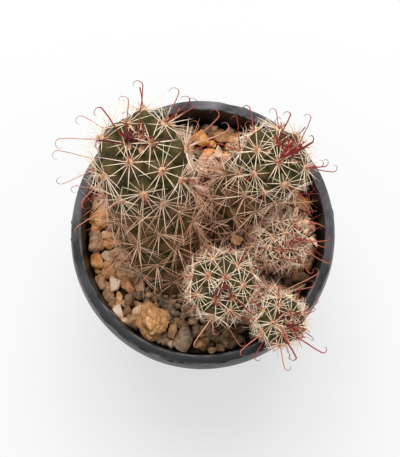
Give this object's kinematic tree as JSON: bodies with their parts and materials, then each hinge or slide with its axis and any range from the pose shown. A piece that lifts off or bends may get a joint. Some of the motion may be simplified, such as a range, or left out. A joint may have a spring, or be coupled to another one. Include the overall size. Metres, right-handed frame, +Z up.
{
  "type": "potted fishhook pincushion cactus",
  "caption": "Clump of round, spiny cactus stems with hooked central spines, growing through a gravel top in a round black nursery pot that stands on a desk or sill.",
  "frame": {"origin": "middle of the pot's underside, on the surface that the pot stands on", "axes": "+Z up, -Y towards the foot of the picture, +X to the right of the picture"},
  "size_m": [0.1075, 0.1091, 0.1494],
  "materials": {
    "black_plastic": "satin",
    "potting_soil": "matte",
    "gravel": "matte",
    "ochre_stone": "matte",
    "grey_stone": "matte",
    "amber_stone": "matte",
    "orange_stone": "matte",
    "cactus_skin": "satin",
    "pale_spine": "satin",
    "red_spine": "satin",
    "areole_wool": "matte"
  },
  "bodies": {
    "root": {"pot": "black_plastic", "soil": "potting_soil", "gravel": "gravel", "ochre_stone": "ochre_stone", "grey_stone": "grey_stone", "amber_stone": "amber_stone", "orange_stone": "orange_stone", "stem_tall": "cactus_skin", "stem_back": "cactus_skin", "stem_front": "cactus_skin", "stem_corner": "cactus_skin", "stem_small": "cactus_skin"}
  },
  "joints": []
}
